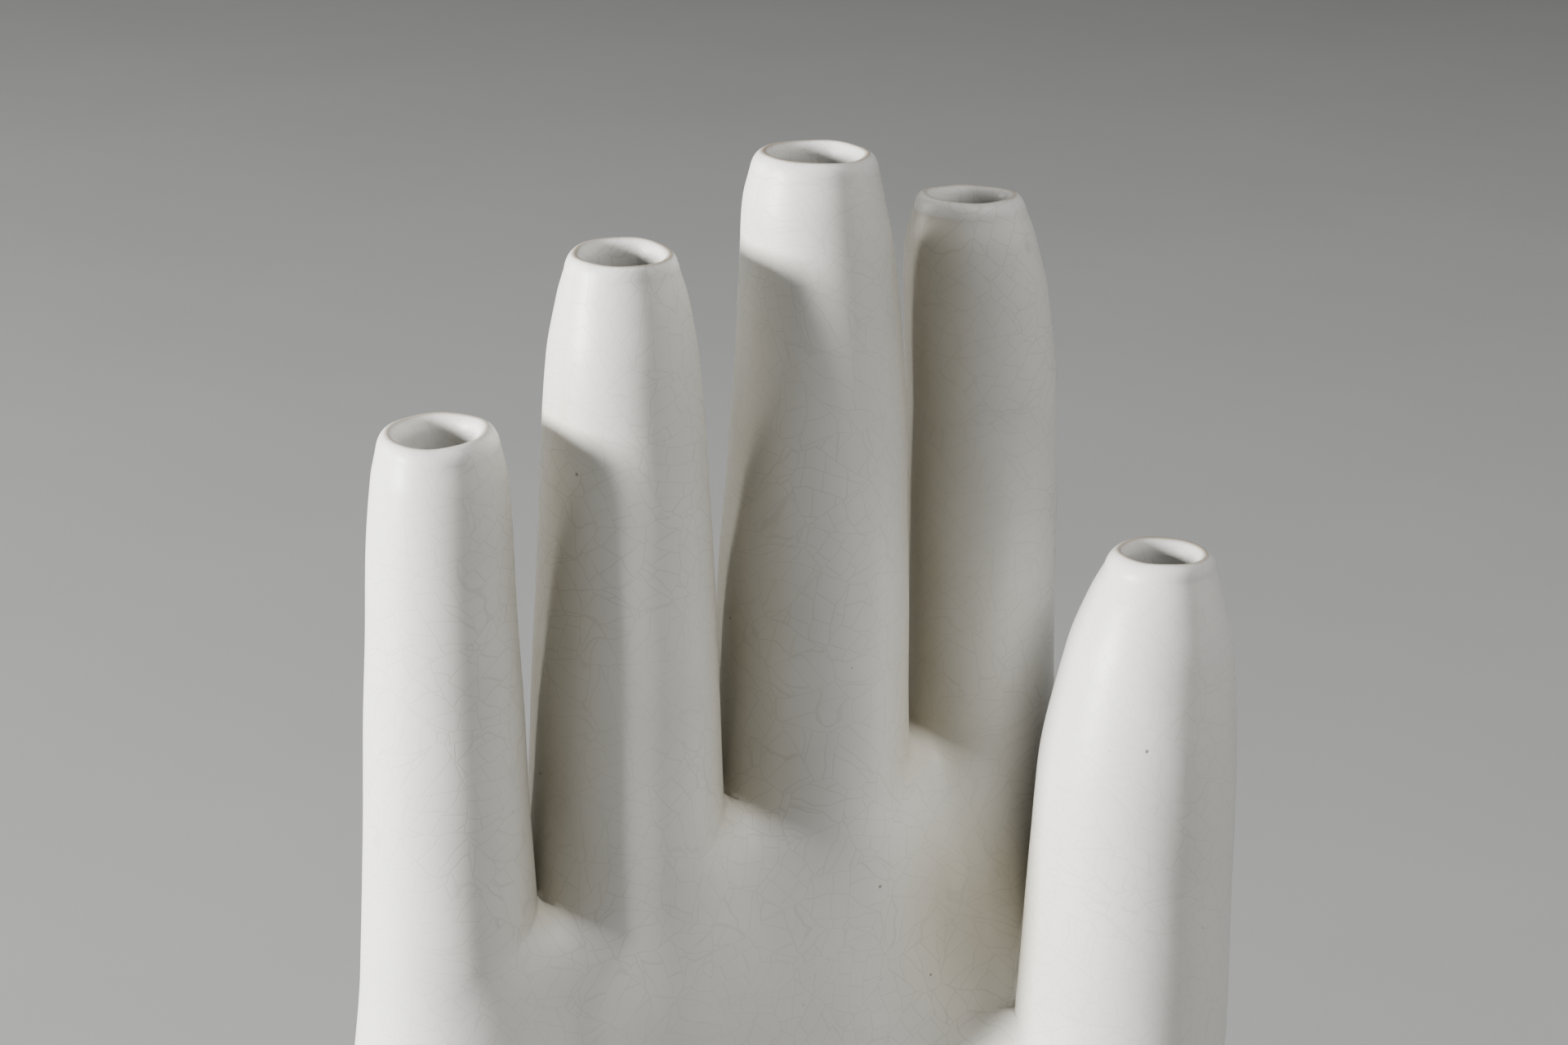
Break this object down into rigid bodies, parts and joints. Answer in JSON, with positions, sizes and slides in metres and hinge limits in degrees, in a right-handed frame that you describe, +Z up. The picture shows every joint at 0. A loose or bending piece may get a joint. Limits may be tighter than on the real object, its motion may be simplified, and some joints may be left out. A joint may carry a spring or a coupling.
{
  "type": "hand-shaped flower vase",
  "caption": "Glazed ceramic vase shaped as an upright open hand, with hollow fingers and thumb that end in open mouths and lead into a hollow palm on an oval foot.",
  "frame": {"origin": "middle of the width and depth, on the level the foot stands on", "axes": "+Z up along the fingers; the palm and the thumb face -Y; the little finger is at -X and the thumb at +X"},
  "size_m": [0.1406, 0.0726, 0.2501],
  "materials": {
    "white_glaze": "satin, finely crackled",
    "bare_clay": "unglazed, matte"
  },
  "bodies": {
    "root": {"palm_body": "white_glaze", "little_finger": "white_glaze", "ring_finger": "white_glaze", "middle_finger": "white_glaze", "index_finger": "white_glaze", "thumb": "white_glaze", "base_slab": "white_glaze", "foot_ring": "bare_clay"}
  },
  "joints": []
}
